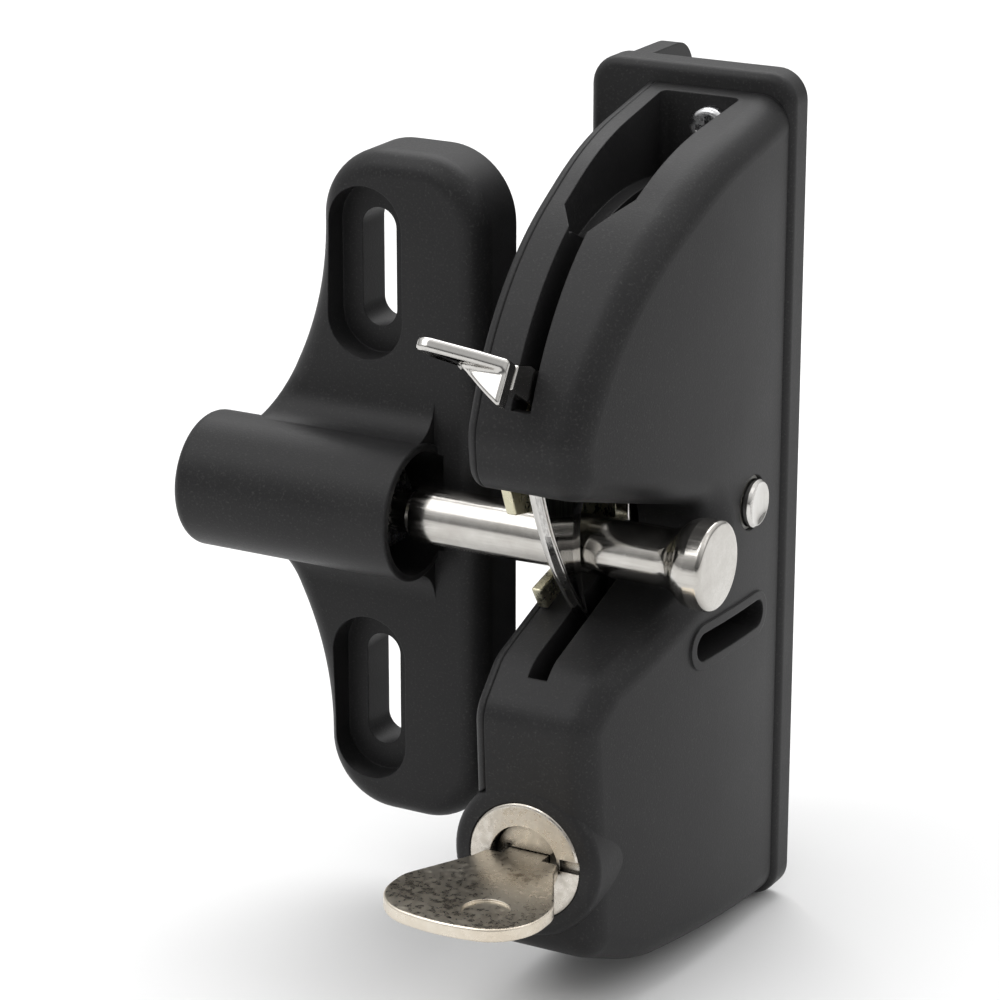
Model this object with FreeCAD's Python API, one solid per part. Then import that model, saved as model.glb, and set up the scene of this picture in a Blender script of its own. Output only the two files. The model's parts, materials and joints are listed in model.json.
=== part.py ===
import FreeCAD, Part
import math
import os

# Gravity gate latch: a post-mounted latch body with a gravity arm and a key lock, and the
# striker of the gate with its headed pin.
# Frame: +Z up, -Y to the front (lock and key), +X along the striker pin towards its head.
# Origin: post face of the mounting plate, 5 mm above its bottom edge, in the latch arm's plane.

# ---- Driving dimensions, millimetres and degrees -------------------------------------

PLATE_LOW = -5.0
PLATE_TOP = 138.0
PLATE_LEFT = -19.0
PLATE_RIGHT = 17.5
PLATE_THICK = 5.5
PLATE_CORNER_R = 5.0
PLATE_ROUND = 1.8
LEG_MARGIN = 2.0            # the leg stops this far from the plate's ends
LEG_THICK = 4.5
LEG_DEPTH = 24.0
POST_SCREW_SPACING = 90.0
POST_SCREW_R = 2.75
POST_SCREW_HEAD_R = 5.3
SIDE_SCREW_R = 2.5
SIDE_SCREW_Y = 12.0
HOOK_HEIGHTS = (16.0, 36.0)
HOUSING_SCREW = (4.6, 129.0)   # X and Z
COVER_SCREWS = ((-13.0, 104.0), (-50.5, 41.5), (-12.5, 10.0))   # Y and Z
GUIDE_SCREW = (4.3, 37.0)      # X and Z
GUIDE_SCREW_R = 1.3

BODY_LEFT = -9.0
COVER_THICK = 2.0
WALL = 2.5
BODY_ROUND = 5.0            # rounding of the body's right edges
COVER_ROUND = 1.7
SEAM = 0.35                 # bevel that makes the parting groove between cover and body

PIVOT_Y = -16.6
PIVOT_Z = 70.0
AXLE_R = 3.0
AXLE_HEAD_X = 16.8
AXLE_HEAD_R = 4.0
RUNNING = 0.05              # radial clearance of a running fit

ARM_HALF = 1.3              # half thickness of the latch arm
SLOT_HALF = 1.7
SLOT_LOW = 17.0             # swing of the arm's neck in the body, in degrees
SLOT_HIGH = 88.0
SLOT_REACH = 70.0
CHAMBER_RIGHT = 2.0
CLAW_R = 29.8               # inner edge of the claw, about the pivot
WEB_R = 47.5                # outermost point of the claw and its ramp
CHAMBER_R = 48.8
CLAW_CLEARANCE_R = 46.9     # the chamber below the ramp
POCKET_FLOOR_R = 50.8
HUB_R = 7.6
HUB_NOSE_R = 13.0
TIP_ANGLE = -31.0
RAMP_ANGLE = 21.0
SLEEVE_R = 4.6
NECK_ANGLE = 33.0           # neck above the horizontal, at rest
NECK_HALF = 2.8
NECK_END_R = 60.7
TAB_INNER_R = NECK_END_R
TAB_OUTER_R = 64.0
TAB_TIP_R = 70.8
TAB_THICK = 2.1
TAB_LEFT = -12.0
TAIL_ANGLE = 12.0           # tail behind the vertical, at rest
TAIL_R = 20.5
TAIL_HALF = 1.7

WEAR_PLATE_THICK = 1.8
WEAR_NOTCH_R = 5.2
WEAR_RIVETS = ((-30.0, 83.0), (-48.0, 89.0))   # Y and Z
RIVET_R = 1.2
RIVET_HEAD_R = 2.0

PIN_Y = -41.0
PIN_Z = 67.6
PIN_R = 4.75
PIN_START = -31.5
PIN_NECK = 13.4
PIN_END = 22.8
PIN_HEAD_R = 7.3
PIN_SHANK_R = 3.5

FLARE_R = 11.3              # circle that the flare under the boss meets
BOSS_R = FLARE_R + 0.12     # the boss stands just proud of it
BOSS_LEFT = -72.0
BOSS_RIGHT = -31.0
SADDLE_RIGHT = BOSS_RIGHT - 0.6
BOSS_RECESS_R = 10.2
BOSS_RECESS_DEPTH = 9.0
INSERT_LEFT = -62.0
INSERT_R = 6.0
STRIKER_ROUND = 4.0
STRIKER_LEFT = -53.5
STRIKER_REACH = -65.0       # left edge of the plate at the boss
FLARE_HOLLOW = 6.0          # radius of the hollow between boss and plate
STRIKER_RIGHT = -23.0
STRIKER_FRONT = -35.0
STRIKER_BACK = -23.0
STRIKER_HALF_HEIGHT = 57.5
STRIKER_SLOT_SPACING = 74.0
STRIKER_SLOT_X = -44.6
STRIKER_SLOT_R = 3.2
SLOT_RECESS_R = 7.0
STRIKER_SLOT_LENGTH = 20.0

LOCK_Z = 21.0
LOCK_FACE_Y = -62.6
LOCK_FACE_R = 9.9
BARREL_R = 8.0
BARREL_END = -44.0
LOCK_BOSS_R = 13.0
LOCK_BOSS_END = -43.0
BARREL_SCREW_Y = -53.0
BARREL_SCREW_R = 1.6
PLUG_R = 6.0
TAILPIECE_R = 2.5
CRANK_R = 5.0
CRANK_PIN_R = 1.5
BAR_BACK = -15.4
BAR_THICK = 2.8
BAR_TOP = 47.0
KEY_THICK = 2.2
KEY_DIMPLE_R = 3.8
KEYWAY_GAP = 0.15
PLUG_FACE_DEPTH = 2.0       # the plug's face sits this far behind the barrel's
KEY_GAP = 0.3               # between the key's shoulder and the barrel's face
BLADE_HALF_X = 3.5
WAFER_Y = [-59.6 + 2.5 * index for index in range(5)]
WAFER_THICK = 1.1
WAFER_HALF_X = 5.2
WAFER_HALF_Z = 2.6

THROAT_BACK = -27.6
FLOOR_Z = 46.0              # ceiling of the lower cavity
CAVITY_RIGHT = 10.0
CAVITY_FRONT = -40.0
BACK_WALL = -PLATE_THICK - WALL

PARTS_DIR = "parts"
Vec = FreeCAD.Vector


# ---- Construction helpers --------------------------------------------------------------

def place(axis, a, b, along):
    """Point at `along` on the axis, with its other two coordinates a and b in X, Y, Z order."""
    if axis == "x":
        return Vec(along, a, b)
    if axis == "y":
        return Vec(a, along, b)
    return Vec(a, b, along)


def outline_face(axis, steps, along):
    """Face of a closed outline; a step of four numbers is an arc (via, end)."""
    edges = []
    here = steps[0][-2:]
    for step in steps[1:] + [steps[0][-2:]]:
        start = place(axis, here[0], here[1], along)
        end = place(axis, step[-2], step[-1], along)
        if len(step) == 4:
            via = place(axis, step[0], step[1], along)
            edges.append(Part.Arc(start, via, end).toShape())
        elif start.distanceToPoint(end) > 1e-6:
            edges.append(Part.LineSegment(start, end).toShape())
        here = step[-2:]
    return Part.Face(Part.Wire(edges))


def prism(axis, steps, low, high):
    """Closed outline extruded along an axis."""
    return outline_face(axis, steps, low).extrude(place(axis, 0.0, 0.0, high - low))


def rounded(corners):
    """Outline steps of a polygon of (a, b, radius) corners, each rounded by a tangent arc."""
    steps = []
    count = len(corners)
    for index, (a, b, radius) in enumerate(corners):
        if radius == 0.0:
            steps.append((a, b))
            continue
        here = Vec(a, b, 0.0)
        before = (Vec(*corners[index - 1][:2], 0.0) - here).normalize()
        after = (Vec(*corners[(index + 1) % count][:2], 0.0) - here).normalize()
        half = before.getAngle(after) / 2.0
        start = here + before * (radius / math.tan(half))
        end = here + after * (radius / math.tan(half))
        centre = here + (before + after).normalize() * (radius / math.sin(half))
        via = centre + (here - centre).normalize() * radius
        steps.append((start.x, start.y))
        steps.append((via.x, via.y, end.x, end.y))
    return steps


def rod(axis, a, b, low, high, radius):
    direction = place(axis, 0.0, 0.0, 1.0)
    return Part.makeCylinder(radius, high - low, place(axis, a, b, low), direction)


def tube(axis, a, b, low, high, outer, inner):
    return rod(axis, a, b, low, high, outer).cut(rod(axis, a, b, low, high, inner))


def cone(axis, a, b, low, high, r_low, r_high):
    direction = place(axis, 0.0, 0.0, 1.0)
    return Part.makeCone(r_low, r_high, high - low, place(axis, a, b, low), direction)


def block(x0, x1, y0, y1, z0, z1):
    return Part.makeBox(x1 - x0, y1 - y0, z1 - z0, Vec(x0, y0, z0))


def obround(axis, a, b, low, high, radius, length, upright):
    """Slot of the given end-to-end length, upright along the second coordinate or along the first."""
    half = length / 2.0 - radius
    if upright:
        steps = [(a - radius, b - half), (a - radius, b + half),
                 (a, b + half + radius, a + radius, b + half), (a + radius, b - half),
                 (a, b - half - radius, a - radius, b - half)]
    else:
        steps = [(a - half, b + radius), (a + half, b + radius),
                 (a + half + radius, b, a + half, b - radius), (a - half, b - radius),
                 (a - half - radius, b, a - half, b + radius)]
    return prism(axis, steps, low, high)


def soften(shape, radius, wanted):
    """Round the edges whose middle point the test accepts."""
    chosen = [edge for edge in shape.Edges if wanted(edge.CenterOfMass, edge)]
    return shape.makeFillet(radius, chosen)


def polar(angle, radius):
    """(y, z) at a radius from the arm's pivot, the angle counted up from straight forward."""
    turn = math.radians(angle)
    return (PIVOT_Y - radius * math.cos(turn), PIVOT_Z + radius * math.sin(turn))


def arc_to(radius, start, end):
    """Arc step about the pivot from one angle to another."""
    return polar((start + end) / 2.0, radius) + polar(end, radius)


def csk_screw(axis, a, b, head, tip, head_r, shank_r, recess_r):
    """Countersunk screw whose head face is at `head` and whose point is at `tip`."""
    sign = 1.0 if tip > head else -1.0
    depth = (head_r - shank_r)
    low, high = sorted((head, head + sign * depth))
    r_low, r_high = (head_r, shank_r) if sign > 0 else (shank_r, head_r)
    body = cone(axis, a, b, low, high, r_low, r_high)
    low, high = sorted((head + sign * depth * 0.5, tip))
    body = body.fuse(rod(axis, a, b, low, high, shank_r))
    low, high = sorted((head, head + sign * depth * 0.7))
    for turn in (0.0, 90.0):
        bar = cross_bar(axis, a, b, low, high, recess_r, turn)
        body = body.cut(bar.common(rod(axis, a, b, low, high, recess_r)))
    return body


def cross_bar(axis, a, b, low, high, radius, turn):
    """One bar of a cross recess."""
    half = radius * 0.22
    reach = (radius, half) if turn == 0.0 else (half, radius)
    corner = place(axis, a - reach[0], b - reach[1], low)
    size = place(axis, 2.0 * reach[0], 2.0 * reach[1], high - low)
    return Part.makeBox(size.x, size.y, size.z, corner)


# ---- Mounting plate ----------------------------------------------------------------------

def hook_lug(z):
    """Lug that stands out of the plate and holds the body's back wall."""
    stem = block(6.4, 9.6, BACK_WALL - 0.2, -PLATE_THICK, z - 2.5, z + 2.5)
    lip = block(6.4, 9.6, BACK_WALL - 2.2, BACK_WALL - 0.2, z - 2.5, z + 4.5)
    return stem.fuse(lip)


def mounting_plate():
    r = PLATE_CORNER_R
    outline = rounded([(PLATE_LEFT, PLATE_LOW, r), (PLATE_LEFT, PLATE_TOP, r),
                       (PLATE_RIGHT, PLATE_TOP, r), (PLATE_RIGHT, PLATE_LOW, r)])
    plate = prism("y", outline, -PLATE_THICK, 0.0)
    plate = soften(plate, PLATE_ROUND, lambda c, e: abs(c.y + PLATE_THICK) < 0.01)
    low = PLATE_LOW + LEG_MARGIN
    top = PLATE_TOP - LEG_MARGIN
    outline = rounded([(-1.0, low, 0.0), (-1.0, top, 0.0), (LEG_DEPTH, top, 6.0), (LEG_DEPTH, low, 6.0)])
    leg = prism("x", outline, PLATE_LEFT, PLATE_LEFT + LEG_THICK)
    leg = soften(leg, 1.2, lambda c, e: abs(c.x - PLATE_LEFT) < 0.01 and c.y > 0.0)
    plate = plate.fuse(leg)
    middle = (PLATE_LOW + PLATE_TOP) / 2.0
    for side in (-1.0, 1.0):
        z = middle + side * POST_SCREW_SPACING / 2.0
        sink = POST_SCREW_HEAD_R - POST_SCREW_R
        plate = plate.cut(rod("y", 0.0, z, -PLATE_THICK - 1.0, 1.0, POST_SCREW_R))
        plate = plate.cut(cone("y", 0.0, z, -PLATE_THICK, -PLATE_THICK + sink,
                               POST_SCREW_HEAD_R, POST_SCREW_R))
        plate = plate.cut(rod("x", SIDE_SCREW_Y, z, PLATE_LEFT - 1.0, 0.0, SIDE_SCREW_R))
    for z in HOOK_HEIGHTS:
        plate = plate.fuse(hook_lug(z))
    x, z = HOUSING_SCREW
    return plate.cut(rod("y", x, z, -PLATE_THICK - 1.0, 1.0, 1.9)).removeSplitter()


# ---- Latch housing --------------------------------------------------------------------

def body_profile():
    """Side outline of the latch body, in Y and Z, with the throat as a notch from the front."""
    back = -PLATE_THICK
    return rounded([(back, 134.6, 0.0), (-29.0, 129.8, 55.0), (-49.5, 118.0, 50.0), (-60.6, 104.0, 50.0),
                    (-65.4, 91.5, 8.0), (-64.6, 82.6, 5.5),
                    (THROAT_BACK, 72.2, 6.0), (THROAT_BACK, 62.3, 6.0),
                    (-56.3, 52.4, 8.0), (-63.0, 45.5, 6.0),
                    (-60.8, 5.4, 5.5), (-46.0, -0.6, 30.0), (back, -4.2, 0.0)])


def body_plan(left, grow):
    """Plan outline, flat on the left and bulging to the right towards the post, over the full height."""
    return prism("z", [(left, -70.0), (left, -PLATE_THICK), (16.8 + grow, -PLATE_THICK),
                       (15.6 + grow, -38.0, 8.8 + grow, -70.0)], PLATE_LOW - 1.0, PLATE_TOP + 2.0)


def lock_boss():
    boss = rod("y", 0.0, LOCK_Z, -62.4, LOCK_BOSS_END, LOCK_BOSS_R)
    boss = soften(boss, 1.6, lambda c, e: c.y < -62.0)
    return soften(boss, 4.0, lambda c, e: c.y > LOCK_BOSS_END - 0.1)


def body_shell():
    """Outer form of the body, right of the left cover."""
    inner = BODY_LEFT + COVER_THICK
    shell = prism("x", body_profile(), inner, 22.0).common(body_plan(inner, 0.0))
    return soften(shell, BODY_ROUND, lambda c, e: c.x > 7.0 and c.y < -6.0)


def sector(radius, start, end, left, right):
    """Slice of a disc about the pivot."""
    return prism("x", [(PIVOT_Y, PIVOT_Z), polar(start, radius), arc_to(radius, start, end)], left, right)


def chamber():
    """Space in which the arm swings past the wear plate, open to the throat."""
    left = BODY_LEFT + COVER_THICK - 1.0
    right = CHAMBER_RIGHT
    space = sector(CHAMBER_R, 19.0, 90.0, left, right)
    space = space.fuse(sector(CLAW_CLEARANCE_R, -20.0, 20.0, left, right))
    space = space.fuse(sector(HUB_NOSE_R + 1.0, -60.0, 104.0, left, right))
    space = space.fuse(sector(HUB_R + 3.9, 95.0, 140.0, left, right))
    space = space.fuse(rod("x", PIVOT_Y, PIVOT_Z, left, right, HUB_R + 0.7))
    tail = block(left, right, -31.0, BACK_WALL, FLOOR_Z - 0.5, PIVOT_Z)
    return space.fuse(tail)


def arm_slot():
    """Narrow slot for the arm's neck: down the front, through the top and into the lower lip."""
    neck = prism("x", [polar(SLOT_LOW, 8.0), polar(SLOT_LOW, SLOT_REACH),
                       arc_to(SLOT_REACH, SLOT_LOW, SLOT_HIGH), polar(SLOT_HIGH, 8.0)], -SLOT_HALF, SLOT_HALF)
    nose = block(-SLOT_HALF, SLOT_HALF, -70.0, -62.4, 80.0, 95.5)
    claw = prism("x", [(-58.2, 48.5), (-58.2, 60.0), (-26.0, 60.0), (-26.0, 45.0), (-44.0, 45.0)],
                 -SLOT_HALF, SLOT_HALF)
    return neck.cut(nose).fuse(claw)


def top_pocket():
    """Funnel in the top of the body, around the slot, with the fixing screw in its back wall."""
    left = -4.4
    right = 12.0
    plan = [(left, BACK_WALL), (left, -41.7), (-SLOT_HALF, -45.3), (SLOT_HALF, -45.9), (6.6, -39.2),
            (7.7, -27.0, 9.5, BACK_WALL)]
    space = prism("z", plan, 100.0, 140.0)
    floor = rod("x", PIVOT_Y, PIVOT_Z, left - 1.0, right, POCKET_FLOOR_R)
    ramp = prism("x", [(-47.2, 100.0), (-47.2, 119.0), (-44.2, 119.0), (-33.7, 114.0), (-33.7, 100.0)],
                 left - 1.0, right)
    space = space.cut(floor).cut(ramp)
    return soften(space, 1.2, lambda c, e: abs(c.y - BACK_WALL) < 0.01 and e.Length > 8.0 and c.z < 138.0)


def lower_cavity():
    left = BODY_LEFT + COVER_THICK - 1.0
    space = block(left, CAVITY_RIGHT, CAVITY_FRONT, BACK_WALL, 6.0, FLOOR_Z)
    y, z = COVER_SCREWS[2]
    pillar = rod("x", y, z, left, CAVITY_RIGHT, 3.4)
    pillar = pillar.fuse(block(left, CAVITY_RIGHT, y, BACK_WALL, 6.0, z + 3.4))
    return space.cut(pillar)


def side_window(grow, low, high):
    return obround("x", -23.5, 50.2, low, high, 2.4 + grow, 22.6 + 2.0 * grow, False)


def housing_body():
    body = body_shell().fuse(lock_boss())
    rim = side_window(1.5, 8.0, 17.8).cut(side_window(0.0, 8.0, 20.0))
    body = body.fuse(rim.common(body_plan(0.0, 0.35)))
    body = body.cut(chamber()).cut(arm_slot()).cut(top_pocket()).cut(lower_cavity())
    body = body.cut(side_window(0.0, 0.0, 20.0))
    body = body.cut(rod("x", PIVOT_Y, PIVOT_Z, 0.0, 20.0, SLEEVE_R))
    body = body.cut(rod("y", 0.0, LOCK_Z, -64.0, LOCK_FACE_Y + 2.2, LOCK_FACE_R))
    body = body.cut(rod("y", 0.0, LOCK_Z, -64.0, CAVITY_FRONT + 1.0, BARREL_R))
    body = body.cut(rod("z", 0.0, BARREL_SCREW_Y, PLATE_LOW, LOCK_Z, BARREL_SCREW_R))
    for y, z in COVER_SCREWS:
        body = body.cut(rod("x", y, z, -10.0, 2.5, 1.5))
    for z in HOOK_HEIGHTS:
        body = body.cut(block(6.2, 9.8, BACK_WALL - 1.0, 0.0, z - 2.8, z + 4.8))
    x, z = GUIDE_SCREW
    body = body.cut(rod("y", x, z, -12.0, 0.0, GUIDE_SCREW_R))
    x, z = HOUSING_SCREW
    return body.cut(rod("y", x, z, -12.0, 0.0, 2.1)).removeSplitter()


def left_cover_solid():
    cover = prism("x", body_profile(), BODY_LEFT, BODY_LEFT + COVER_THICK)
    return soften(cover, COVER_ROUND, lambda c, e: abs(c.x - BODY_LEFT) < 0.01 and c.y < -6.0)


def left_cover():
    cover = left_cover_solid()
    inner = BODY_LEFT + COVER_THICK
    rim = [edge for edge in cover.Edges
           if abs(edge.CenterOfMass.x - inner) < 0.01 and edge.CenterOfMass.y < -6.0]
    cover = cover.makeChamfer(SEAM, rim)
    cover = cover.cut(rod("y", 0.0, LOCK_Z, -64.0, LOCK_BOSS_END + 0.2, LOCK_BOSS_R + 0.15))
    cover = cover.cut(rod("x", PIVOT_Y, PIVOT_Z, -10.0, 0.0, AXLE_R))
    for y, z in WEAR_RIVETS:
        cover = cover.cut(rod("x", y, z, inner - 1.2, 0.0, RIVET_R))
    for y, z in COVER_SCREWS:
        cover = cover.cut(cone("x", y, z, BODY_LEFT, BODY_LEFT + 1.4, 2.9, 1.5))
        cover = cover.cut(rod("x", y, z, BODY_LEFT, 0.0, 1.5))
    return cover


def cover_screws():
    screws = [csk_screw("x", y, z, BODY_LEFT + 0.05, 2.2, 2.85, 1.5, 1.6) for y, z in COVER_SCREWS]
    return Part.makeCompound(screws)


def housing_screw():
    """Pan-head screw in the pocket that holds the body on the mounting plate."""
    x, z = HOUSING_SCREW
    head = rod("y", x, z, BACK_WALL - 2.4, BACK_WALL, 3.4)
    head = soften(head, 0.9, lambda c, e: c.y < BACK_WALL - 2.0)
    screw = head.fuse(rod("y", x, z, BACK_WALL, -0.4, 1.9))
    for turn in (0.0, 90.0):
        screw = screw.cut(cross_bar("y", x, z, BACK_WALL - 3.0, BACK_WALL - 0.9, 2.0, turn))
    return screw


# ---- Pivot --------------------------------------------------------------------------

def revolve_x(outline, y, z):
    """Solid turned about the line through (y, z) along X, from steps in x and radius."""
    steps = [tuple(value + z * (index % 2) for index, value in enumerate(step)) for step in outline]
    return outline_face("y", steps, y).revolve(Vec(0.0, y, z), Vec(1.0, 0.0, 0.0), 360.0)


def pivot_axle():
    head = AXLE_HEAD_X
    axle = revolve_x([(-10.0, 0.0), (-10.0, AXLE_R - 0.5), (-9.5, AXLE_R), (head, AXLE_R),
                      (head, AXLE_HEAD_R), (head + 1.1, AXLE_HEAD_R), (head + 1.7, AXLE_HEAD_R - 0.6),
                      (head + 1.7, 0.0)], PIVOT_Y, PIVOT_Z)
    dish_r = 9.0
    return axle.cut(Part.makeSphere(dish_r, Vec(head + 0.8 + dish_r, PIVOT_Y, PIVOT_Z)))


def axle_clip():
    """Push-on retaining ring on the axle's left end."""
    ring = tube("x", PIVOT_Y, PIVOT_Z, BODY_LEFT - 0.7, BODY_LEFT, 5.2, AXLE_R)
    for turn in range(0, 360, 90):
        notch = block(BODY_LEFT - 1.0, BODY_LEFT + 0.2, PIVOT_Y - 0.5, PIVOT_Y + 0.5,
                      PIVOT_Z + AXLE_R - 0.2, PIVOT_Z + AXLE_R + 1.2)
        notch.rotate(Vec(0.0, PIVOT_Y, PIVOT_Z), Vec(1.0, 0.0, 0.0), turn)
        ring = ring.cut(notch)
    return ring


def pivot_bush():
    """Sleeve that carries the axle in the body's thick right side."""
    return tube("x", PIVOT_Y, PIVOT_Z, CHAMBER_RIGHT + 0.1, AXLE_HEAD_X - 0.6, SLEEVE_R, AXLE_R)


def rest_bumper():
    """Rubber pad on the back wall that the arm's tail rests against."""
    pad = block(-4.0, CHAMBER_RIGHT - 0.3, -10.3, BACK_WALL, 47.0, 55.0)
    return soften(pad, 0.8, lambda c, e: c.y < -10.2)


# ---- Latch arm --------------------------------------------------------------------

def along_neck(distance, aside):
    """(y, z) at a distance along the neck from the pivot and a distance above its middle."""
    turn = math.radians(NECK_ANGLE)
    return (PIVOT_Y - distance * math.cos(turn) + aside * math.sin(turn),
            PIVOT_Z + distance * math.sin(turn) + aside * math.cos(turn))


def along_tail(distance, aside):
    """(y, z) at a distance down the tail from the pivot and a distance behind its middle."""
    turn = math.radians(TAIL_ANGLE)
    return (PIVOT_Y + distance * math.sin(turn) + aside * math.cos(turn),
            PIVOT_Z - distance * math.cos(turn) + aside * math.sin(turn))


def claw_steps():
    """Claw and hub, from the ramp's top round the pin notch to the foot of the hub's nose."""
    tip = polar(TIP_ANGLE, CLAW_R)
    return [polar(RAMP_ANGLE, WEB_R), (-53.6, 69.4) + tip, arc_to(CLAW_R, TIP_ANGLE, 9.0),
            (-44.6, 76.2) + (-42.6, 76.3), polar(26.0, HUB_NOSE_R + 0.8), arc_to(HUB_NOSE_R, 22.0, -50.0)]


def latch_arm():
    top = HUB_R
    steps = claw_steps()
    steps += [along_tail(13.0, -TAIL_HALF), along_tail(TAIL_R - TAIL_HALF, -TAIL_HALF),
              along_tail(TAIL_R, 0.0) + along_tail(TAIL_R - TAIL_HALF, TAIL_HALF),
              along_tail(7.4, TAIL_HALF), polar(-190.0, top) + polar(-268.0, top),
              along_neck(18.0, NECK_HALF), along_neck(NECK_END_R - 4.0, NECK_HALF - 0.4),
              along_neck(NECK_END_R, TAB_THICK / 2.0), along_neck(NECK_END_R, -NECK_HALF),
              along_neck(49.0, -NECK_HALF), along_neck(48.4, -NECK_HALF - 1.4)]
    arm = prism("x", steps, -ARM_HALF, ARM_HALF)
    return arm.cut(rod("x", PIVOT_Y, PIVOT_Z, -5.0, 5.0, SLEEVE_R))


def hub_sleeve():
    return tube("x", PIVOT_Y, PIVOT_Z, -4.9, CHAMBER_RIGHT - 0.2, SLEEVE_R, AXLE_R + RUNNING)


def finger_tab():
    """Thumb tab across the neck's end, swept outward to the left, with a gusset below."""
    right = ARM_HALF
    corners = [(right, TAB_INNER_R, 0.0), (right, TAB_OUTER_R, 0.0), (-3.4, TAB_OUTER_R + 2.8, 20.0),
               (TAB_LEFT, TAB_TIP_R, 2.0), (TAB_LEFT - 0.3, TAB_TIP_R - 4.3, 1.6),
               (-7.2, TAB_INNER_R + 1.5, 6.0)]
    plan = rounded([(x, PIVOT_Y - reach, radius) for x, reach, radius in corners])
    half = TAB_THICK / 2.0
    tab = prism("z", plan, PIVOT_Z - half, PIVOT_Z + half)
    gusset = prism("y", [(right, PIVOT_Z), (right, PIVOT_Z - 6.4),
                         (-2.3, PIVOT_Z - 4.2, -7.0, PIVOT_Z - 0.55), (-7.0, PIVOT_Z)],
                   PIVOT_Y - TAB_OUTER_R, PIVOT_Y - TAB_INNER_R)
    tab = tab.fuse(gusset)
    tab.rotate(Vec(0.0, PIVOT_Y, PIVOT_Z), Vec(1.0, 0.0, 0.0), -NECK_ANGLE)
    return tab.removeSplitter()


# ---- Wear plate ----------------------------------------------------------------------------

def wear_plate():
    """Fixed steel plate on the left cover's inside, with the notch in which the pin rests."""
    left = BODY_LEFT + COVER_THICK
    right = left + WEAR_PLATE_THICK
    plate = prism("x", [(-59.8, 86.5), (-52.6, 69.6, -44.9, 56.9), (-31.3, 61.6), (-11.2, 62.0),
                        (-11.2, 75.0), (-20.0, 86.0), (-50.0, 98.0)], left, right)
    notch = prism("x", [(PIN_Y, PIN_Z - WEAR_NOTCH_R), (PIN_Y, PIN_Z + WEAR_NOTCH_R),
                        (-62.0, PIN_Z + WEAR_NOTCH_R + 4.2), (-62.0, PIN_Z - WEAR_NOTCH_R - 5.0)],
                  left - 1.0, right + 1.0)
    plate = plate.cut(notch.fuse(rod("x", PIN_Y, PIN_Z, left - 1.0, right + 1.0, WEAR_NOTCH_R)))
    for y, z in WEAR_RIVETS:
        plate = plate.cut(rod("x", y, z, left - 1.0, right + 1.0, RIVET_R))
    return plate.cut(rod("x", PIVOT_Y, PIVOT_Z, left - 1.0, right + 1.0, AXLE_R))


def wear_plate_rivets():
    """Button-headed rivets that hold the wear plate on the cover."""
    inner = BODY_LEFT + COVER_THICK
    face = inner + WEAR_PLATE_THICK
    rivets = []
    for y, z in WEAR_RIVETS:
        head = soften(rod("x", y, z, face, face + 0.6, RIVET_HEAD_R), 0.3, lambda c, e: c.x > face + 0.5)
        rivets.append(head.fuse(rod("x", y, z, inner - 1.1, face, RIVET_R)))
    return Part.makeCompound(rivets)


# ---- Lock, key and locking bar --------------------------------------------------------

def lock_barrel():
    flange = rod("y", 0.0, LOCK_Z, LOCK_FACE_Y, LOCK_FACE_Y + 2.2, LOCK_FACE_R)
    flange = soften(flange, 0.7, lambda c, e: c.y < LOCK_FACE_Y + 0.1)
    mark = block(PLUG_R + 0.4, LOCK_FACE_R + 1.0, LOCK_FACE_Y - 1.0, LOCK_FACE_Y + 0.8,
                 LOCK_Z - 0.2, LOCK_Z + 1.8)
    barrel = flange.cut(mark).fuse(rod("y", 0.0, LOCK_Z, LOCK_FACE_Y + 2.2, BARREL_END, BARREL_R))
    barrel = barrel.cut(rod("y", 0.0, LOCK_Z, -64.0, -40.0, PLUG_R + RUNNING))
    groove = block(0.0, 7.2, WAFER_Y[0] - 0.3, -47.5, LOCK_Z - 2.8, LOCK_Z + 2.8)
    for turn in (0.0, -90.0):
        turned = groove.copy()
        turned.rotate(Vec(0.0, 0.0, LOCK_Z), Vec(0.0, 1.0, 0.0), turn)
        barrel = barrel.cut(turned)
    return barrel.cut(rod("z", 0.0, BARREL_SCREW_Y, 10.0, 13.9, BARREL_SCREW_R)).removeSplitter()


def barrel_screw():
    """Grub screw under the body that holds the lock barrel."""
    screw = rod("z", 0.0, BARREL_SCREW_Y, 7.2, 13.9, BARREL_SCREW_R)
    return screw.cut(prism("z", hexagon(0.0, BARREL_SCREW_Y, 0.85), 7.0, 8.8))


def hexagon(a, b, inner_radius):
    reach = inner_radius / math.cos(math.radians(30.0))
    return [(a + reach * math.cos(math.radians(60.0 * i)), b + reach * math.sin(math.radians(60.0 * i)))
            for i in range(6)]


def lock_plug():
    face = LOCK_FACE_Y + PLUG_FACE_DEPTH
    plug = rod("y", 0.0, LOCK_Z, face, -42.6, PLUG_R)
    plug = soften(plug, 0.3, lambda c, e: c.y < face + 0.1)
    plug = plug.cut(tube("y", 0.0, LOCK_Z, -43.9, -43.1, 7.0, 5.4))
    half = BLADE_HALF_X + KEYWAY_GAP
    plug = plug.cut(block(-half, half, -64.0, -46.8, LOCK_Z - KEY_THICK / 2.0 - KEYWAY_GAP,
                          LOCK_Z + KEY_THICK / 2.0 + KEYWAY_GAP))
    for y in WAFER_Y:
        plug = plug.cut(block(-WAFER_HALF_X - 0.1, 7.0, y - 0.05, y + WAFER_THICK + 0.05,
                              LOCK_Z - WAFER_HALF_Z - 0.05, LOCK_Z + WAFER_HALF_Z + 0.05))
    return plug.cut(rod("y", 0.0, LOCK_Z, -45.0, -40.0, TAILPIECE_R))


def wafer_tumblers():
    wafers = []
    for y in WAFER_Y:
        plate = block(-WAFER_HALF_X, WAFER_HALF_X, y, y + WAFER_THICK,
                      LOCK_Z - WAFER_HALF_Z, LOCK_Z + WAFER_HALF_Z)
        window = block(-4.7, 3.7, y - 1.0, y + 2.0, LOCK_Z - 1.3, LOCK_Z + 1.3)
        wafers.append(plate.cut(window))
    return Part.makeCompound(wafers)


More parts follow.
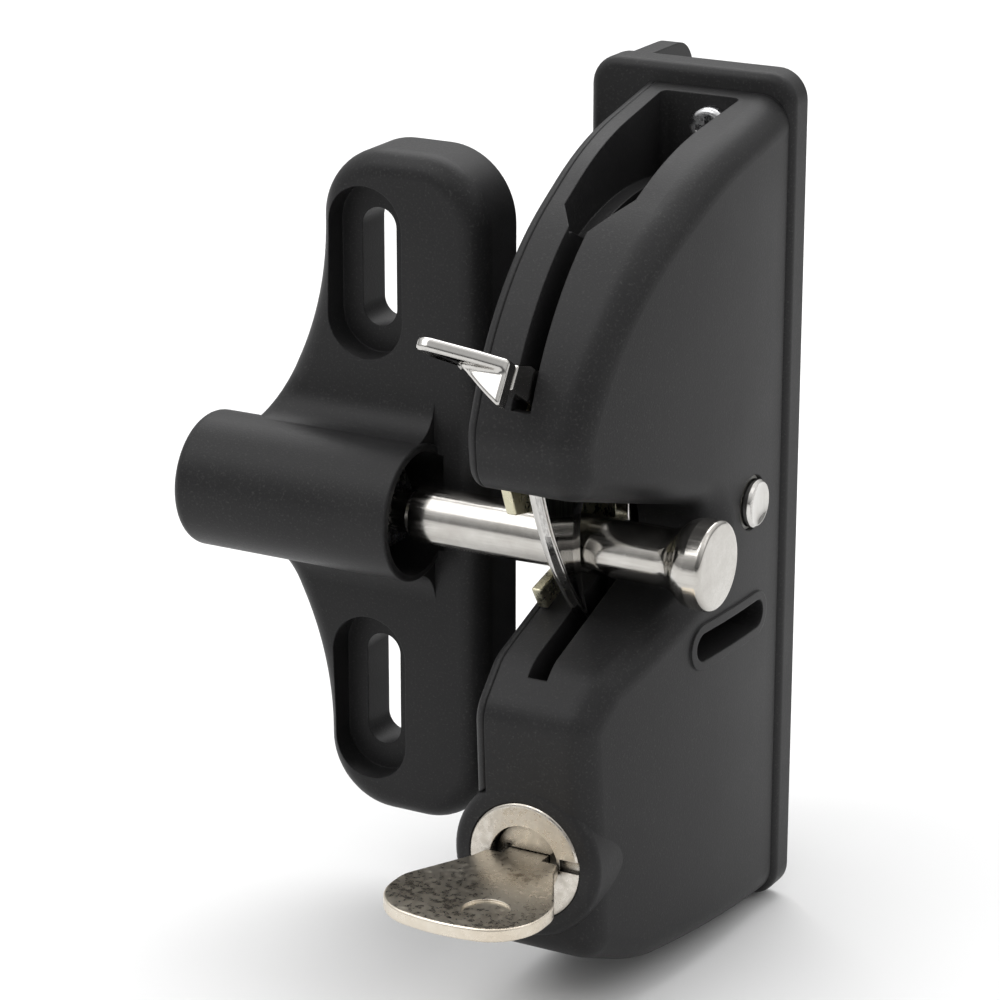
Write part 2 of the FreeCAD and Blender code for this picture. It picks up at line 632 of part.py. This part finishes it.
def plug_clip():
    """Open retaining ring in the plug's groove, behind the barrel."""
    ring = tube("y", 0.0, LOCK_Z, -43.9, -43.2, 7.3, 5.4)
    return ring.cut(block(-8.0, -3.0, -45.0, -42.0, LOCK_Z - 1.6, LOCK_Z + 1.6))


def tailpiece():
    return rod("y", 0.0, LOCK_Z, -45.0, BAR_BACK - BAR_THICK - 0.4, TAILPIECE_R)


def crank_point(distance):
    """(x, z) of a point on the crank arm, which hangs at 45 degrees at rest."""
    reach = distance * math.sqrt(0.5)
    return (reach, LOCK_Z - reach)


def lock_crank():
    """Crank on the tailpiece, whose pin works in the locking bar's slot."""
    front = BAR_BACK - BAR_THICK - 3.0
    back = BAR_BACK - BAR_THICK - 0.4
    x, z = crank_point(CRANK_R)
    web = block(0.0, CRANK_R, front, back, LOCK_Z - 2.4, LOCK_Z + 2.4)
    web.rotate(Vec(0.0, 0.0, LOCK_Z), Vec(0.0, 1.0, 0.0), 45.0)
    crank = rod("y", 0.0, LOCK_Z, front, back, 4.2).fuse([web, rod("y", x, z, front, back, 2.4)])
    crank = crank.fuse(rod("y", x, z, back, BAR_BACK + 0.6, CRANK_PIN_R))
    return crank.cut(rod("y", 0.0, LOCK_Z, front - 1.0, back + 1.0, TAILPIECE_R)).removeSplitter()


def locking_bar():
    """Flat bar with a crank slot in its foot and a leg that rises under the arm's tail."""
    foot_low = 12.6
    foot_high = 22.6
    outline = rounded([(-5.0, foot_low, 1.5), (9.0, foot_low, 1.5), (9.0, foot_high, 1.5),
                       (1.6, foot_high, 1.0), (1.6, BAR_TOP, 0.6), (-5.0, BAR_TOP, 0.6)])
    bar = prism("y", outline, BAR_BACK - BAR_THICK, BAR_BACK)
    gap = 0.35
    low_x = crank_point(CRANK_R)[0]
    z = crank_point(CRANK_R)[1]
    middle = (low_x + CRANK_R) / 2.0
    length = CRANK_R - low_x + 2.0 * (CRANK_PIN_R + gap)
    slot = obround("y", middle, z, BAR_BACK - 5.0, BAR_BACK + 2.0, CRANK_PIN_R + gap, length + 0.6, False)
    return bar.cut(slot)


def bar_guide():
    """Moulded block on the back wall that keeps the locking bar upright."""
    guide = block(-6.6, 6.0, -21.2, BACK_WALL, 32.0, 42.0)
    guide = soften(guide, 1.0, lambda c, e: c.y < -21.1 and abs(c.x) < 5.0)
    guide = guide.cut(block(-5.3, 1.9, BAR_BACK - BAR_THICK - 0.3, BAR_BACK + 0.3, 30.0, 44.0))
    x, z = GUIDE_SCREW
    return guide.cut(rod("y", x, z, -22.0, 0.0, GUIDE_SCREW_R))


def guide_screw():
    x, z = GUIDE_SCREW
    head = rod("y", x, z, -23.0, -21.2, 1.65)
    screw = head.fuse(rod("y", x, z, -21.2, -6.2, GUIDE_SCREW_R))
    for turn in (0.0, 90.0):
        screw = screw.cut(cross_bar("y", x, z, -24.0, -22.1, 1.0, turn))
    return screw


def key():
    """Flat key lying level in the plug, with notches along one edge of its blade."""
    shoulder = LOCK_FACE_Y - KEY_GAP
    side = [(6.4, shoulder, 0.8), (7.4, -66.2, 3.0), (13.4, -77.5, 7.0), (13.4, -88.6, 9.0)]
    outline = side + [(0.0, -90.8, 30.0)] + [(-x, y, radius) for x, y, radius in reversed(side)]
    low = LOCK_Z - KEY_THICK / 2.0
    high = LOCK_Z + KEY_THICK / 2.0
    bow = prism("z", rounded(outline), low, high)
    bow = soften(bow, 0.35, lambda c, e: min(abs(c.z - low), abs(c.z - high)) < 0.01)
    bow = bow.cut(rod("z", 4.5, -83.0, high - 0.35, high + 1.0, KEY_DIMPLE_R))
    bow = bow.cut(rod("z", 4.5, -83.0, low - 1.0, low + 0.35, KEY_DIMPLE_R))
    half = BLADE_HALF_X
    blade = prism("z", [(-half, shoulder - 0.5), (half, shoulder - 0.5), (half, -49.4),
                        (half - 2.0, -47.4), (1.8 - half, -47.4), (-half, -49.2)], low, high)
    for index, y in enumerate(WAFER_Y):
        depth = 0.5 + 0.35 * (index * 2 % 3)
        middle = y + WAFER_THICK / 2.0
        notch = prism("z", [(half + 1.0, middle - 1.1), (half + 1.0, middle + 1.1),
                            (half - depth, middle + 0.3), (half - depth, middle - 0.3)], low - 1.0, high + 1.0)
        blade = blade.cut(notch)
    return bow.fuse(blade).removeSplitter()


# ---- Striker ------------------------------------------------------------------------

def striker_blank(front, back):
    """Two-lobed outline, its left edge swept out towards the end of the boss."""
    top = PIN_Z + STRIKER_HALF_HEIGHT
    low = PIN_Z - STRIKER_HALF_HEIGHT
    left = STRIKER_LEFT
    right = STRIKER_RIGHT
    reach = STRIKER_REACH
    outline = rounded([(left, low, 12.0), (left, PIN_Z - 32.0, 55.0), (reach, PIN_Z - 8.0, 5.0),
                       (reach, PIN_Z + 8.0, 5.0), (left, PIN_Z + 32.0, 55.0), (left, top, 12.0),
                       (right, top, 12.0), (right, low, 12.0)])
    return prism("y", outline, front, back)


def boss_flank(side):
    """Ends and middle, in (y, z), of the concave arc from the flare's circle to the plate's face."""
    reach = FLARE_R + FLARE_HOLLOW
    y = STRIKER_FRONT - FLARE_HOLLOW
    z = PIN_Z + side * math.sqrt(reach ** 2 - (y - PIN_Y) ** 2)
    on_circle = (PIN_Y + (y - PIN_Y) * FLARE_R / reach, PIN_Z + (z - PIN_Z) * FLARE_R / reach)
    on_face = (STRIKER_FRONT, z)
    middle = Vec((on_circle[0] + on_face[0]) / 2.0 - y, (on_circle[1] + on_face[1]) / 2.0 - z, 0.0)
    middle.normalize()
    return on_circle, (y + FLARE_HOLLOW * middle.x, z + FLARE_HOLLOW * middle.y), on_face


def boss_flare():
    """Saddle under the boss, hollowed above and below, that ends just short of its mouth."""
    top, top_via, top_face = boss_flank(1.0)
    low, low_via, low_face = boss_flank(-1.0)
    inside = STRIKER_FRONT + STRIKER_ROUND
    saddle = prism("x", [(inside, top_face[1]), top_face, top_via + top, low, low_via + low_face,
                         (inside, low_face[1])], BOSS_LEFT, SADDLE_RIGHT)
    return saddle.common(striker_blank(PIN_Y - BOSS_R - 5.0, inside))


def striker_plate():
    """Plate and saddle, with the whole front edge rounded."""
    plate = striker_blank(STRIKER_FRONT, STRIKER_BACK).fuse(boss_flare()).removeSplitter()
    face_z = boss_flank(1.0)[2][1] - PIN_Z

    def on_front_edge(c, edge):
        aside = abs(c.z - PIN_Z)
        if abs(c.y - STRIKER_FRONT) < 0.02:
            return abs(aside - face_z) > 0.05 and abs(c.x - SADDLE_RIGHT) > 0.05
        return c.x < STRIKER_REACH + 15.0 and c.y < STRIKER_FRONT and aside > 6.5

    return soften(plate, STRIKER_ROUND, on_front_edge)


def striker_body():
    boss = rod("x", PIN_Y, PIN_Z, BOSS_LEFT, BOSS_RIGHT, BOSS_R)
    boss = soften(boss, 2.0, lambda c, e: c.x < BOSS_LEFT + 0.1)
    boss = soften(boss, 0.45, lambda c, e: c.x > BOSS_RIGHT - 0.1)
    body = striker_plate().fuse(boss)
    recess = BOSS_RIGHT - BOSS_RECESS_DEPTH
    body = body.cut(rod("x", PIN_Y, PIN_Z, recess, BOSS_RIGHT + 1.0, BOSS_RECESS_R))
    body = body.cut(rod("x", PIN_Y, PIN_Z, INSERT_LEFT, recess, INSERT_R))
    for side in (-1.0, 1.0):
        z = PIN_Z + side * STRIKER_SLOT_SPACING / 2.0
        body = body.cut(obround("y", STRIKER_SLOT_X, z, STRIKER_FRONT - 1.0, STRIKER_FRONT + 5.0,
                                SLOT_RECESS_R, STRIKER_SLOT_LENGTH + 9.0, True))
        body = body.cut(obround("y", STRIKER_SLOT_X, z, STRIKER_FRONT, STRIKER_BACK + 1.0,
                                STRIKER_SLOT_R, STRIKER_SLOT_LENGTH, True))
    return body.removeSplitter()


def pin_insert():
    """Threaded steel insert moulded into the boss."""
    insert = tube("x", PIN_Y, PIN_Z, INSERT_LEFT, BOSS_RIGHT - BOSS_RECESS_DEPTH, INSERT_R, PIN_SHANK_R)
    for index in range(4):
        x = INSERT_LEFT + 3.0 + 4.5 * index
        insert = insert.cut(tube("x", PIN_Y, PIN_Z, x, x + 1.2, INSERT_R + 1.0, INSERT_R - 0.6))
    return insert


def pin_locknut():
    """Jam nut on the pin's shank, at the bottom of the boss's recess."""
    left = BOSS_RIGHT - BOSS_RECESS_DEPTH
    nut = prism("x", hexagon(PIN_Y, PIN_Z, 6.2), left, left + 4.0)
    return nut.cut(rod("x", PIN_Y, PIN_Z, left - 1.0, left + 5.0, PIN_SHANK_R))


def striker_pin():
    """Headed pin with a thinner shank that screws into the boss."""
    edge = PIN_HEAD_R - 0.9
    outline = [(INSERT_LEFT, 0.0), (INSERT_LEFT, PIN_SHANK_R), (PIN_START, PIN_SHANK_R),
               (PIN_START, PIN_R - 0.7), (PIN_START + 0.9, PIN_R), (PIN_NECK, PIN_R),
               (PIN_NECK + 1.8, PIN_R + 0.25, PIN_NECK + 3.2, PIN_R + 1.0),
               (PIN_NECK + 4.6, PIN_HEAD_R - 0.5, PIN_NECK + 6.4, PIN_HEAD_R),
               (PIN_END - 0.9, PIN_HEAD_R), (PIN_END - 0.26, edge + 0.64, PIN_END, edge), (PIN_END, 0.0)]
    return revolve_x(outline, PIN_Y, PIN_Z)


# ---- Write the parts ----------------------------------------------------------------------

def write(name, shape):
    shape.exportStep(os.path.join(PARTS_DIR, name + ".step"))


BUILDERS = (mounting_plate, housing_body, left_cover, cover_screws, housing_screw,
            pivot_axle, axle_clip, pivot_bush, rest_bumper,
            wear_plate, wear_plate_rivets, latch_arm, hub_sleeve, finger_tab,
            lock_barrel, barrel_screw, lock_plug, wafer_tumblers, plug_clip, tailpiece, lock_crank,
            locking_bar, bar_guide, guide_screw, key,
            striker_body, pin_insert, pin_locknut, striker_pin)


def main():
    os.makedirs(PARTS_DIR, exist_ok=True)
    for build in BUILDERS:
        write(build.__name__, build())


main()
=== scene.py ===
"""Looks of the gravity gate latch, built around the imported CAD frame, in metres.

The CAD nodes only get materials. Four thin plates are stood for by copies with really rounded edges.
A pale floor, three softboxes and a dim dome make the studio.
"""
import json
import math

import bmesh
import bpy
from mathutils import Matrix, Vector


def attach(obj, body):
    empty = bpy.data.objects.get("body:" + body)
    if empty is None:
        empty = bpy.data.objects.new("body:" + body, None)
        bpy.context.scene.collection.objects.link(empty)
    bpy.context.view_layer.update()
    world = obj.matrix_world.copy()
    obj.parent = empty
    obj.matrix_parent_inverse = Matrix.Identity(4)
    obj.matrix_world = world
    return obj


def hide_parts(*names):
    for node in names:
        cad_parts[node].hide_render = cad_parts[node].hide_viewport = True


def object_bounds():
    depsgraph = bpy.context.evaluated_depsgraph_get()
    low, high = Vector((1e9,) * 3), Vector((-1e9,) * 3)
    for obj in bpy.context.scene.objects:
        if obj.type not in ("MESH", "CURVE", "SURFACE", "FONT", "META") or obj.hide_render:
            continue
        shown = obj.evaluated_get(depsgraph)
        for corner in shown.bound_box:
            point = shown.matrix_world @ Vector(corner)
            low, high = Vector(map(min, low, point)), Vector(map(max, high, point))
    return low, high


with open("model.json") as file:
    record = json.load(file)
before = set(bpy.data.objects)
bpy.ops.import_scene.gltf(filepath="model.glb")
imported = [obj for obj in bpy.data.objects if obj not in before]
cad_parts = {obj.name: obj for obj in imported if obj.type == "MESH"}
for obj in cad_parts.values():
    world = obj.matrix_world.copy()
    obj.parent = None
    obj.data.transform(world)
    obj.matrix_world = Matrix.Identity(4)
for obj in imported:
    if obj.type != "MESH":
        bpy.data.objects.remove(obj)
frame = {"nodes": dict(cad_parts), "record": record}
CAD_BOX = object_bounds()
NODES = frame["nodes"]
BEHAVIOUR = frame["record"]["behaviour"]
BODY_OF = {node: body for body, nodes in BEHAVIOUR["bodies"].items() for node in nodes}
SLOT_OF = {row["node"]: row["material_slot"] for row in frame["record"]["subparts"]}
ARM_PIVOT = next(Vector(joint["pos_m"]) for joint in BEHAVIOUR["joints"] if joint["name"] == "arm_lift")
MM = 0.001
WHITE = (1.0, 1.0, 1.0, 1.0)

# ---- Camera --------------------------------------------------------------------------

CAMERA_AZIMUTH = 28.84
CAMERA_ELEVATION = 18.64
CAMERA_DISTANCE = 0.60
CAMERA_LENS = 131.9         # millimetres, on the sensor below
CAMERA_SENSOR = 36.0
CAMERA_NEAR = 10.0 * MM
CAMERA_TARGET = Vector((-0.02219, -0.030, 0.06801))


def direction(azimuth, elevation):
    """Unit vector from the object towards a viewpoint; azimuth 0 is the front."""
    turn, lift = math.radians(azimuth), math.radians(elevation)
    return Vector((math.sin(turn) * math.cos(lift), -math.cos(turn) * math.cos(lift), math.sin(lift)))


def aim(obj, target):
    """Turn a camera or light to look at a point."""
    obj.rotation_euler = (target - obj.location).to_track_quat("-Z", "Y").to_euler()


def make_camera():
    data = bpy.data.cameras.new("camera")
    data.lens = CAMERA_LENS
    data.sensor_width = CAMERA_SENSOR
    data.clip_start = CAMERA_NEAR
    camera = bpy.data.objects.new("camera", data)
    bpy.context.scene.collection.objects.link(camera)
    camera.location = CAMERA_TARGET + direction(CAMERA_AZIMUTH, CAMERA_ELEVATION) * CAMERA_DISTANCE
    aim(camera, CAMERA_TARGET)
    bpy.context.scene.camera = camera


# ---- Material helpers ------------------------------------------------------------------

NOISE_SPAN = (0.3, 0.7)     # nearly all values of a noise lie in here
MIX_FACTOR, MIX_A, MIX_B, MIX_RESULT = 0, 6, 7, 2   # colour sockets of a Mix node, whose names repeat
OCCLUSION_SAMPLES = 8
OCCLUSION_SPAN = (0.45, 0.80)   # from a recess to an open face
EDGE_SAMPLES = 6


def map_range(tree, value, span, result):
    """The value with one span (low, high) stretched to another and held at its ends."""
    node = tree.nodes.new("ShaderNodeMapRange")
    keys = ("From Min", "From Max", "To Min", "To Max")
    for key, number in zip(keys, (*span, *result)):
        node.inputs[key].default_value = number
    tree.links.new(value, node.inputs["Value"])
    return node.outputs["Result"]


class Recipe:
    """A material under construction: a Principled shader and the nodes that feed it."""

    def __init__(self, name, **sockets):
        self.material = bpy.data.materials.new(name)
        self.material.use_nodes = True
        self.tree = self.material.node_tree
        self.shader = self.tree.nodes["Principled BSDF"]
        for key, value in sockets.items():
            self.shader.inputs[key.replace("_", " ")].default_value = value
        self.coords = self.tree.nodes.new("ShaderNodeTexCoord").outputs["Object"]

    def link(self, a, b):
        self.tree.links.new(a, b)

    def stretched(self, scale):
        """Object coordinates scaled along X, Y and Z."""
        node = self.tree.nodes.new("ShaderNodeMapping")
        node.inputs["Scale"].default_value = scale
        self.link(self.coords, node.inputs["Vector"])
        return node.outputs["Vector"]

    def noise(self, scale, detail=3.0, roughness=0.55, stretch=None, distortion=0.0):
        node = self.tree.nodes.new("ShaderNodeTexNoise")
        node.inputs["Scale"].default_value = scale
        node.inputs["Detail"].default_value = detail
        node.inputs["Roughness"].default_value = roughness
        node.inputs["Distortion"].default_value = distortion
        self.link(self.stretched(stretch) if stretch else self.coords, node.inputs["Vector"])
        return node.outputs["Fac"]

    def cells(self, scale, stretch=None):
        node = self.tree.nodes.new("ShaderNodeTexVoronoi")
        node.inputs["Scale"].default_value = scale
        self.link(self.stretched(stretch) if stretch else self.coords, node.inputs["Vector"])
        return node.outputs["Distance"]

    def remap(self, value, span, result):
        return map_range(self.tree, value, span, result)

    def ramp(self, value, stops):
        """Colour from the stops (place, colour)."""
        node = self.tree.nodes.new("ShaderNodeValToRGB")
        elements = node.color_ramp.elements
        while len(elements) < len(stops):
            elements.new(0.5)
        for element, (place, color) in zip(elements, stops):
            element.position = place
            element.color = (*color, 1.0)
        self.link(value, node.inputs["Fac"])
        return node.outputs["Color"]

    def mix(self, factor, a, b):
        node = self.tree.nodes.new("ShaderNodeMix")
        node.data_type = "RGBA"
        self.feed(node.inputs[MIX_FACTOR], factor)
        self.feed(node.inputs[MIX_A], a)
        self.feed(node.inputs[MIX_B], b)
        return node.outputs[MIX_RESULT]

    def feed(self, socket, value):
        """Fill a socket from another node, a colour or a number."""
        if isinstance(value, bpy.types.NodeSocket):
            self.link(value, socket)
        elif isinstance(value, tuple):
            socket.default_value = (*value, 1.0)
        else:
            socket.default_value = value

    def maths(self, operation, a, b):
        node = self.tree.nodes.new("ShaderNodeMath")
        node.operation = operation
        self.feed(node.inputs[0], a)
        self.feed(node.inputs[1], b)
        return node.outputs[0]

    def open_space(self, distance):
        """0 in recesses narrower than the distance, 1 on open faces."""
        node = self.tree.nodes.new("ShaderNodeAmbientOcclusion")
        node.samples = OCCLUSION_SAMPLES
        node.inputs["Distance"].default_value = distance
        return self.remap(node.outputs["AO"], OCCLUSION_SPAN, (0.0, 1.0))

    def bump(self, layers, edge=0.0):
        """Chained bumps of (height, strength, distance in metres), over edges softened by `edge` metres."""
        normal = None
        if edge:
            node = self.tree.nodes.new("ShaderNodeBevel")
            node.samples = EDGE_SAMPLES
            node.inputs["Radius"].default_value = edge
            normal = node.outputs["Normal"]
        for height, strength, distance in layers:
            node = self.tree.nodes.new("ShaderNodeBump")
            node.inputs["Strength"].default_value = strength
            node.inputs["Distance"].default_value = distance
            self.link(height, node.inputs["Height"])
            if normal is not None:
                self.link(normal, node.inputs["Normal"])
            normal = node.outputs["Normal"]
        self.link(normal, self.shader.inputs["Normal"])

    def set(self, key, value):
        self.link(value, self.shader.inputs[key])


def moulded_polymer():
    """Black glass-filled nylon: satin, with a fine grain of pale flecks."""
    m = Recipe("moulded_polymer", Specular_IOR_Level=0.19)
    grain = m.noise(scale=2600.0, detail=2.0, roughness=0.6)
    speck = m.cells(scale=3400.0)
    flow = m.noise(scale=38.0, detail=4.0, roughness=0.6)
    low, high = NOISE_SPAN
    tone = m.ramp(flow, [(low, (0.0150, 0.0148, 0.0154)), (high, (0.0205, 0.0202, 0.0208))])
    fleck = m.remap(grain, (0.55, 0.75), (0.0, 1.0))
    m.set("Base Color", m.mix(m.maths("MULTIPLY", fleck, 0.6), tone, (0.052, 0.051, 0.050)))
    rough = m.remap(flow, NOISE_SPAN, (0.40, 0.49))
    m.set("Roughness", m.maths("ADD", rough, m.remap(grain, NOISE_SPAN, (-0.05, 0.07))))
    m.bump([(flow, 0.25, 0.12 * MM), (grain, 0.55, 0.035 * MM), (speck, 0.25, 0.03 * MM)], edge=0.35 * MM)
    return m.material


METAL_EDGE = 0.2 * MM
RECESS_PAINTED_SHADE = 0.12          # painted shade: a recess is painted with this part of the metal's dark tone, standing in for the shade there


def metal(name, color, dark, rough, streak, dents=0.25, mottle=0.6, painted_shade_reach=0.0):
    """Plated or polished metal with streaks along `streak`, dents, a mottled sheen and painted shade in its
    recesses.
    """
    m = Recipe(name, Metallic=1.0)
    lines = m.noise(scale=1.0, detail=3.0, roughness=0.6, stretch=streak)
    cloud = m.noise(scale=120.0, detail=4.0, roughness=0.65)
    fine = m.noise(scale=1500.0, detail=2.0, roughness=0.5)
    low, high = NOISE_SPAN
    tone = m.ramp(cloud, [(low, dark), (high, color)])
    shade = m.mix(m.remap(lines, (0.35, 0.65), (0.0, 0.35)), tone, dark)
    # Painted shade: ambient occlusion darkens the colour in recesses within the given reach
    if painted_shade_reach:
        shade = m.mix(m.open_space(painted_shade_reach), tuple(RECESS_PAINTED_SHADE * c for c in dark), shade)
    m.set("Base Color", shade)
    streaks = m.remap(lines, NOISE_SPAN, (rough * (1.0 - mottle), rough * (1.0 + mottle)))
    patches = m.remap(cloud, NOISE_SPAN, (-0.03, 0.05))
    m.set("Roughness", m.maths("ADD", streaks, patches))
    m.bump([(cloud, dents, 0.1 * MM), (lines, 0.25, 0.01 * MM), (fine, 0.12, 0.01 * MM)], edge=METAL_EDGE)
    return m.material


PLASTIC_EDGE = 0.2 * MM
PLASTIC_SHADE = 0.75        # the darker patches have this part of the colour


def soft_plastic(name, color, rough):
    """Plain plastic or rubber with faint patches and a fine grain."""
    m = Recipe(name)
    cloud = m.noise(scale=60.0, detail=3.0)
    fine = m.noise(scale=2200.0, detail=2.0)
    patches = m.remap(cloud, NOISE_SPAN, (0.0, 0.4))
    m.set("Base Color", m.mix(patches, color, tuple(PLASTIC_SHADE * c for c in color)))
    m.set("Roughness", m.remap(cloud, NOISE_SPAN, (rough - 0.06, rough + 0.06)))
    m.bump([(fine, 0.4, 0.02 * MM)], edge=PLASTIC_EDGE)
    return m.material


ALONG_X = (150.0, 3500.0, 3500.0)
ALONG_Z = (2500.0, 2500.0, 120.0)
ALL_WAYS = (900.0, 900.0, 900.0)

METALS = {
    "polished_steel": dict(color=(0.66, 0.65, 0.63), dark=(0.50, 0.485, 0.46), rough=0.09, streak=ALONG_Z),
    "bright_nickel": dict(color=(0.62, 0.605, 0.575), dark=(0.42, 0.40, 0.37), rough=0.15, streak=ALONG_X),
    # satin_nickel gets painted shade in recesses up to 3 mm deep
    "satin_nickel": dict(color=(0.74, 0.70, 0.64), dark=(0.50, 0.46, 0.40), rough=0.30, streak=ALL_WAYS,
                         dents=0.5, painted_shade_reach=3.0 * MM),
    "key_nickel": dict(color=(0.76, 0.71, 0.62), dark=(0.64, 0.57, 0.47), rough=0.30, streak=ALL_WAYS,
                       mottle=0.3),
    "zinc_steel": dict(color=(0.72, 0.69, 0.52), dark=(0.58, 0.55, 0.40), rough=0.28, streak=ALL_WAYS,
                       dents=0.15, mottle=0.3),
    "steel_fixings": dict(color=(0.66, 0.66, 0.66), dark=(0.44, 0.44, 0.45), rough=0.24, streak=ALL_WAYS),
    "brass_wafers": dict(color=(0.80, 0.62, 0.30), dark=(0.58, 0.42, 0.18), rough=0.28, streak=ALL_WAYS),
}
PLASTICS = {
    "bush_polymer": dict(color=(0.55, 0.55, 0.52), rough=0.40),
    "rubber_pad": dict(color=(0.020, 0.020, 0.021), rough=0.62),
}


def make_materials():
    """One material for every slot of the record, by the slot's name."""
    materials = {"moulded_polymer": moulded_polymer()}
    for name, look in METALS.items():
        materials[name] = metal(name, **look)
    for name, look in PLASTICS.items():
        materials[name] = soft_plastic(name, **look)
    return materials


def dress(obj, material):
    """Give an object this material and no other."""
    obj.data.materials.clear()
    obj.data.materials.append(material)


# ---- Bevelled pieces -----------------------------------------------------------------

CLAW_RIGHT_FACE = 1.25 * MM             # points right of this lie on the arm's right side
CLAW_SPAN = (53.0 * MM, 88.5 * MM)      # heights of the claw's front
CLAW_REACH = 31.0 * MM                  # the claw's front is further than this from the pivot
CLAW_BACK = -43.0 * MM                  # and further forward than this
MERGE_DISTANCE = 0.002 * MM
FLAT_ANGLE = math.radians(0.6)          # faces closer to one plane than this are joined


def ground_edges(work):
    """Edges of the claw's front on the arm's right side, where the plate is ground off."""
    bottom, top = CLAW_SPAN
    chosen = []
    for edge in work.edges:
        middle = (edge.verts[0].co + edge.verts[1].co) / 2.0
        low, high = sorted(vertex.co.z for vertex in edge.verts)
        on_face = all(vertex.co.x > CLAW_RIGHT_FACE for vertex in edge.verts)
        in_front = (middle - ARM_PIVOT).length > CLAW_REACH and middle.y < CLAW_BACK
        if on_face and in_front and bottom < low and high < top:
            chosen.append(edge)
    return chosen


def bevelled(node, name, width, segments=3, angle=25.0, grind=0.0, clamp=True):
    """Copy of a CAD node with its sharp edges really rounded; it stands for the node.

    Edges sharper than `angle` degrees are rounded. Without the clamp, an edge of short segments is
    rounded to its full width too.
    """
    mesh = NODES[node].data.copy()
    work = bmesh.new()
    work.from_mesh(mesh)
    bmesh.ops.remove_doubles(work, verts=work.verts, dist=MERGE_DISTANCE)
    bmesh.ops.dissolve_limit(work, angle_limit=FLAT_ANGLE, verts=work.verts, edges=work.edges)
    if grind:
        bmesh.ops.bevel(work, geom=ground_edges(work), offset=grind, segments=2, profile=0.5,
                        affect="EDGES", clamp_overlap=True)
    for face in work.faces:
        face.smooth = True
    work.to_mesh(mesh)
    work.free()
    mesh.name = name
    if "custom_normal" in mesh.attributes:
        mesh.attributes.remove(mesh.attributes["custom_normal"])
    obj = bpy.data.objects.new(name, mesh)
    bpy.context.scene.collection.objects.link(obj)
    bevel = obj.modifiers.new("round", "BEVEL")
    bevel.width = width
    bevel.segments = segments
    bevel.limit_method = "ANGLE"
    bevel.angle_limit = math.radians(angle)
    bevel.harden_normals = True
    bevel.use_clamp_overlap = clamp
    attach(obj, BODY_OF[node])
    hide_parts(node)
    dress(obj, MATERIALS[SLOT_OF[node]])


# ---- Studio ----------------------------------------------------------------------------

FLOOR_REACH = 6.0
FLOOR_GAP = 0.6 * MM                    # the floor lies this far under the lowest point
LIGHT_TARGET = Vector((-0.02, -0.03, 0.07))
DOME_HEIGHT = (0.02, 0.65)              # height on the dome of radius 1, and the strength there
DOME_STRENGTH = (0.30, 1.20)
DIM_DIRECTION = direction(20.0, 8.0)    # the dome is dimmed around here
DIM_NEARNESS = (0.55, 0.95)             # cosine of the angle to it, and the share of light left
DIM_SHARE = (1.0, 0.30)


def make_floor():
    """Flat pale floor just under the object."""
    mesh = bpy.data.meshes.new("floor")
    low = CAD_BOX[0][2] - FLOOR_GAP
    corners = [(-1, -1), (1, -1), (1, 1), (-1, 1)]
    mesh.from_pydata([(x * FLOOR_REACH, y * FLOOR_REACH, low) for x, y in corners], [], [(0, 1, 2, 3)])
    floor = bpy.data.objects.new("floor", mesh)
    bpy.context.scene.collection.objects.link(floor)
    m = Recipe("pale_floor", Roughness=0.9, Specular_IOR_Level=0.1)
    m.set("Base Color", m.ramp(m.noise(scale=3.0), [(0.0, (0.76, 0.76, 0.76)), (1.0, (0.79, 0.79, 0.79))]))
    dress(floor, m.material)


def softbox(name, azimuth, elevation, distance, width, height, power):
    """White rectangular area light that looks at the object."""
    data = bpy.data.lights.new(name, "AREA")
    data.shape = "RECTANGLE"
    data.size = width
    data.size_y = height
    data.energy = power
    light = bpy.data.objects.new(name, data)
    bpy.context.scene.collection.objects.link(light)
    light.location = LIGHT_TARGET + direction(azimuth, elevation) * distance
    aim(light, LIGHT_TARGET)


def make_world():
    """Bright dome above, darker towards the horizon and darkest around DIM_DIRECTION."""
    world = bpy.data.worlds.new("studio")
    bpy.context.scene.world = world
    world.use_nodes = True
    tree = world.node_tree
    sky = tree.nodes.new("ShaderNodeTexCoord").outputs["Generated"]
    split = tree.nodes.new("ShaderNodeSeparateXYZ")
    tree.links.new(sky, split.inputs["Vector"])
    dome = map_range(tree, split.outputs["Z"], DOME_HEIGHT, DOME_STRENGTH)
    facing = tree.nodes.new("ShaderNodeVectorMath")
    facing.operation = "DOT_PRODUCT"
    facing.inputs[1].default_value = DIM_DIRECTION
    tree.links.new(sky, facing.inputs[0])
    shade = map_range(tree, facing.outputs["Value"], DIM_NEARNESS, DIM_SHARE)
    product = tree.nodes.new("ShaderNodeMath")
    product.operation = "MULTIPLY"
    tree.links.new(dome, product.inputs[0])
    tree.links.new(shade, product.inputs[1])
    background = tree.nodes["Background"]
    background.inputs["Color"].default_value = WHITE
    tree.links.new(product.outputs[0], background.inputs["Strength"])


def make_studio():
    make_world()
    softbox("key_light", azimuth=-35.0, elevation=52.0, distance=1.1, width=0.9, height=0.7, power=3.6)
    softbox("side_light", azimuth=100.0, elevation=30.0, distance=1.2, width=0.4, height=0.9, power=0.5)
    softbox("top_light", azimuth=-160.0, elevation=60.0, distance=1.1, width=1.0, height=0.8, power=7.0)
    bpy.context.scene.view_settings.view_transform = "Standard"


# ---- The scene -------------------------------------------------------------------------

make_camera()
MATERIALS = make_materials()
for node_name, node_object in NODES.items():
    dress(node_object, MATERIALS[SLOT_OF[node_name]])
bevelled("latch_arm", "latch_arm_plate", width=0.3 * MM, angle=40.0, grind=1.8 * MM, clamp=False)
bevelled("wear_plate", "wear_plate_blank", width=0.3 * MM, angle=40.0, clamp=False)
bevelled("finger_tab", "thumb_tab", width=0.7 * MM, segments=4, angle=40.0, clamp=False)
bevelled("key", "key_blank", width=0.25 * MM)
make_floor()
make_studio()
